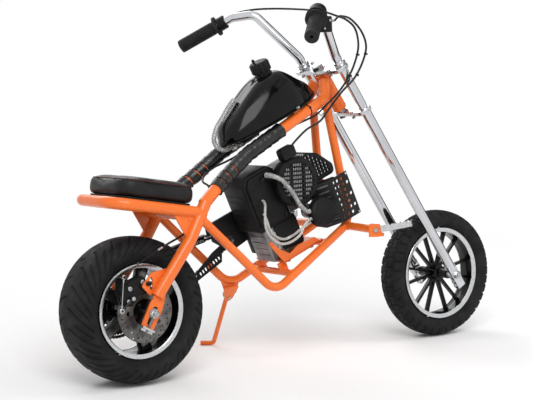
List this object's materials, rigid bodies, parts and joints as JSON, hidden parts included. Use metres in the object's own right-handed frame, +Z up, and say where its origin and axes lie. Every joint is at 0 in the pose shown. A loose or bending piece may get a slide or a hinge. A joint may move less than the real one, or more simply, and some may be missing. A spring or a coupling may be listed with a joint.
{
  "type": "minibike",
  "caption": "Minibike with a long raked chrome fork, open tubular frame, small fan-cooled engine, chain drive, fat rear tyre and a side stand it leans on.",
  "frame": {"origin": "on the floor under the middle of the bounding box", "axes": "+X forward along the bike, +Y to the bike's left, towards which it leans on its side stand, +Z up"},
  "size_m": [1.209, 0.6062, 0.8465],
  "materials": {
    "black_cable": "black cable sheath",
    "black_gloss": "gloss black paint",
    "black_plastic": "satin black moulded plastic",
    "black_steel": "satin black paint",
    "black_tape": "satin black vinyl tape",
    "black_vinyl": "black vinyl over foam with dark red piping",
    "bright_steel": "bright plated steel",
    "brushed_alloy": "brushed aluminium",
    "cast_alloy": "rough cast aluminium",
    "chrome": "mirror chrome plate",
    "clear_hose": "milky clear hose",
    "grip_rubber": "soft black rubber",
    "orange_paint": "gloss orange powder coat",
    "tyre_rubber": "black tyre rubber"
  },
  "bodies": {
    "chassis": {"air_filter": "black_plastic", "brake_cable": "black_cable", "brake_caliper": "black_plastic", "breather_hose": "clear_hose", "carburettor": "cast_alloy", "chain_guard": "black_plastic", "crankcase": "cast_alloy", "cylinder": "cast_alloy", "cylinder_shroud": "black_plastic", "drip_hose_inner": "clear_hose", "drip_hose_outer": "clear_hose", "drive_chain": "bright_steel", "drive_sprocket": "bright_steel", "engine_housing": "black_plastic", "fan_cover": "black_plastic", "frame": "orange_paint", "fuel_cap": "black_plastic", "fuel_hose": "clear_hose", "fuel_tank": "black_gloss", "fuel_tap": "bright_steel", "gearbox": "black_steel", "ignition_coil": "black_plastic", "lower_guard": "black_plastic", "muffler": "cast_alloy", "muffler_guard": "black_steel", "rear_axle": "bright_steel", "seat_pad": "black_vinyl", "seat_pan": "black_plastic", "throttle_cable": "black_cable", "tube_wrap_left": "black_tape", "tube_wrap_right": "black_tape"},
    "steering": {"brake_lever": "black_plastic", "fork_leg_left": "chrome", "fork_leg_right": "chrome", "front_axle": "bright_steel", "grip_left": "grip_rubber", "grip_right": "grip_rubber", "handlebar_left": "chrome", "handlebar_right": "chrome", "lower_clamp": "brushed_alloy", "throttle_housing": "black_plastic", "upper_clamp": "brushed_alloy"},
    "front_wheel_body": {"front_tyre": "tyre_rubber", "front_wheel": "black_steel"},
    "rear_wheel_body": {"brake_disc": "bright_steel", "rear_sprocket": "black_steel", "rear_tyre": "tyre_rubber", "rear_wheel": "black_steel"},
    "stand": {"side_stand": "orange_paint"},
    "left_peg": {"foot_peg_left": "chrome"},
    "right_peg": {"foot_peg_right": "chrome"}
  },
  "joints": [
    {"name": "steering", "type": "hinge", "parent": "chassis", "child": "steering", "pos_m": [0.16462, -0.02941, 0.58574], "axis": [-0.527, 0.0649, 0.8474], "range_deg": [-35, 35], "deforming": ["brake_cable", "throttle_cable"]},
    {"name": "front_wheel_spin", "type": "hinge", "parent": "steering", "child": "front_wheel_body", "pos_m": [0.4455, -0.06211, 0.15872], "axis": [0, 0.9971, -0.0764], "continuous": true},
    {"name": "rear_wheel_spin", "type": "hinge", "parent": "chassis", "child": "rear_wheel_body", "pos_m": [-0.4395, -0.06165, 0.16511], "axis": [0, 0.9971, -0.0764], "continuous": true},
    {"name": "stand_fold", "type": "hinge", "parent": "chassis", "child": "stand", "pos_m": [-0.11451, 0.04075, 0.14006], "axis": [0.0002, 0.8432, 0.5376], "range_deg": [0, 80]},
    {"name": "left_peg_fold", "type": "hinge", "parent": "chassis", "child": "left_peg", "pos_m": [0.12256, 0.12959, 0.29161], "axis": [-0.7071, 0.705, -0.0537], "range_deg": [-80, 0]},
    {"name": "right_peg_fold", "type": "hinge", "parent": "chassis", "child": "right_peg", "pos_m": [0.12257, -0.23136, 0.31926], "axis": [0.7071, 0.705, -0.0543], "range_deg": [-80, 0]}
  ]
}
